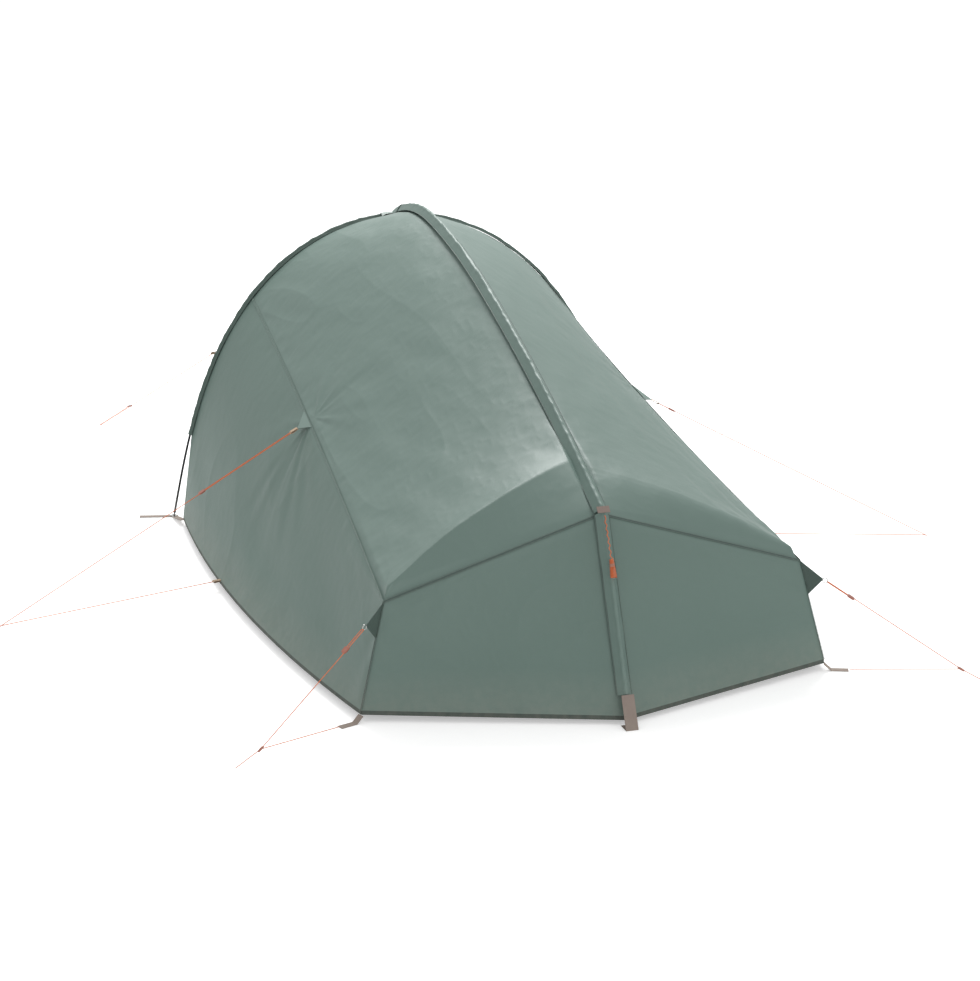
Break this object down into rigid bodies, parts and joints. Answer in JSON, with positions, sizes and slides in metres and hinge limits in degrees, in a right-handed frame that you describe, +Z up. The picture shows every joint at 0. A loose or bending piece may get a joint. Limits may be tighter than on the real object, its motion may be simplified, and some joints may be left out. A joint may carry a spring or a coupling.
{
  "type": "dome tent",
  "caption": "Two-person dome tent with a cross hoop, a lengthwise spine pole, a sewn fly with a zipped porch, a hung inner tent and guy lines with sliders.",
  "frame": {"origin": "centre of the groundsheet's underside, on the ground", "axes": "+Y from the foot end to the porch, +Z up, X=0 the tent's long centre plane"},
  "size_m": [3.4178, 4.0441, 1.1948],
  "materials": {
    "fly_cloth": "coated ripstop, satin",
    "sleeve_cloth": "woven, matt",
    "hem_tape": "folded tape, matt",
    "bare_aluminium": "anodised",
    "pole_black": "black anodised",
    "tip_plastic": "moulded",
    "floor_cloth": "coated, matt",
    "inner_cloth": "thin woven",
    "inner_mesh": "mesh",
    "webbing": "ribbed webbing",
    "ring_metal": "bright",
    "guy_cord": "braided",
    "slider_metal": "anodised",
    "zip_tape": "coil"
  },
  "bodies": {
    "tent": {"corner_flaps": "fly_cloth", "corner_guy_left": "guy_cord", "corner_guy_right": "guy_cord", "corner_return_left": "guy_cord", "corner_return_right": "guy_cord", "corner_rings": "ring_metal", "corner_webbing": "webbing", "crossing_hood": "fly_cloth", "foot_panel_left": "fly_cloth", "foot_panel_right": "fly_cloth", "foot_pockets": "webbing", "foot_rings": "ring_metal", "groundsheet": "floor_cloth", "guy_loops": "webbing", "hem_tape": "hem_tape", "hoop_guy_left": "guy_cord", "hoop_guy_right": "guy_cord", "hoop_pole": "pole_black", "hoop_sleeve_left": "sleeve_cloth", "hoop_sleeve_right": "sleeve_cloth", "hoop_webbing": "webbing", "inner_foot_wall": "inner_cloth", "inner_hangers": "webbing", "inner_head_wall": "inner_cloth", "inner_side_left": "inner_cloth", "inner_side_right": "inner_cloth", "leg_sleeve": "sleeve_cloth", "mid_flaps": "fly_cloth", "pole_spigots": "bare_aluminium", "pole_tips": "tip_plastic", "porch_fixed_panel": "fly_cloth", "porch_front_panel_left": "fly_cloth", "porch_front_panel_right": "fly_cloth", "porch_side_panel_left": "fly_cloth", "porch_side_panel_right": "fly_cloth", "porch_sleeve": "sleeve_cloth", "ridge_sleeve": "sleeve_cloth", "roof_panel_left": "fly_cloth", "roof_panel_right": "fly_cloth", "side_guy_left": "guy_cord", "side_guy_right": "guy_cord", "side_panel_left": "fly_cloth", "side_panel_right": "fly_cloth", "spine_back_pole": "pole_black", "spine_elbow": "bare_aluminium", "spine_front_pole": "pole_black", "spine_leg_pole": "pole_black", "spine_tab": "webbing", "tub_walls": "floor_cloth", "zip_chain": "zip_tape"},
    "porch_door": {"porch_door": "fly_cloth"},
    "inner_door": {"inner_door": "inner_mesh"},
    "zip_slider": {"zip_slider": "slider_metal"},
    "stowed_line": {"stowed_line": "guy_cord"},
    "corner_slider_left": {"corner_slider_left": "slider_metal"},
    "corner_slider_right": {"corner_slider_right": "slider_metal"},
    "hoop_slider_left": {"hoop_slider_left": "slider_metal"},
    "hoop_slider_right": {"hoop_slider_right": "slider_metal"},
    "side_slider_left": {"side_slider_left": "slider_metal"},
    "side_slider_right": {"side_slider_right": "slider_metal"}
  },
  "joints": [
    {"name": "porch_door_hinge", "type": "hinge", "parent": "tent", "child": "porch_door", "pos_m": [-0.79816, 1.1223, 0.03602], "axis": [0.5723, 0.1305, 0.8096], "range_deg": [0, 34]},
    {"name": "inner_door_drop", "type": "hinge", "parent": "tent", "child": "inner_door", "pos_m": [0, 1.0689, 0.137], "axis": [-1, 0, 0], "range_deg": [0, 84]},
    {"name": "zip_travel", "type": "slide", "parent": "tent", "child": "zip_slider", "axis": [0.0754, -0.4197, 0.9045], "range_m": [0, 1.07]},
    {"name": "stowed_line_swing", "type": "hinge", "parent": "tent", "child": "stowed_line", "pos_m": [0, -1.19351, 0.59747], "axis": [-1, 0, 0], "range_deg": [0, 60]},
    {"name": "corner_slider_left_slide", "type": "slide", "parent": "tent", "child": "corner_slider_left", "axis": [0.7348, 0.4464, 0.5107], "range_m": [-0.06, 0.07]},
    {"name": "corner_slider_right_slide", "type": "slide", "parent": "tent", "child": "corner_slider_right", "axis": [-0.7348, 0.4464, 0.5107], "range_m": [-0.06, 0.07]},
    {"name": "hoop_slider_left_slide", "type": "slide", "parent": "tent", "child": "hoop_slider_left", "axis": [0.1643, -0.9007, 0.4022], "range_m": [-0.2, 0.04]},
    {"name": "hoop_slider_right_slide", "type": "slide", "parent": "tent", "child": "hoop_slider_right", "axis": [-0.1643, -0.9007, 0.4022], "range_m": [-0.2, 0.04]},
    {"name": "side_slider_left_slide", "type": "slide", "parent": "tent", "child": "side_slider_left", "axis": [0.8746, 0.0797, 0.4783], "range_m": [-0.1, 0.342]},
    {"name": "side_slider_right_slide", "type": "slide", "parent": "tent", "child": "side_slider_right", "axis": [-0.8746, 0.0797, 0.4783], "range_m": [-0.1, 0.032]}
  ]
}
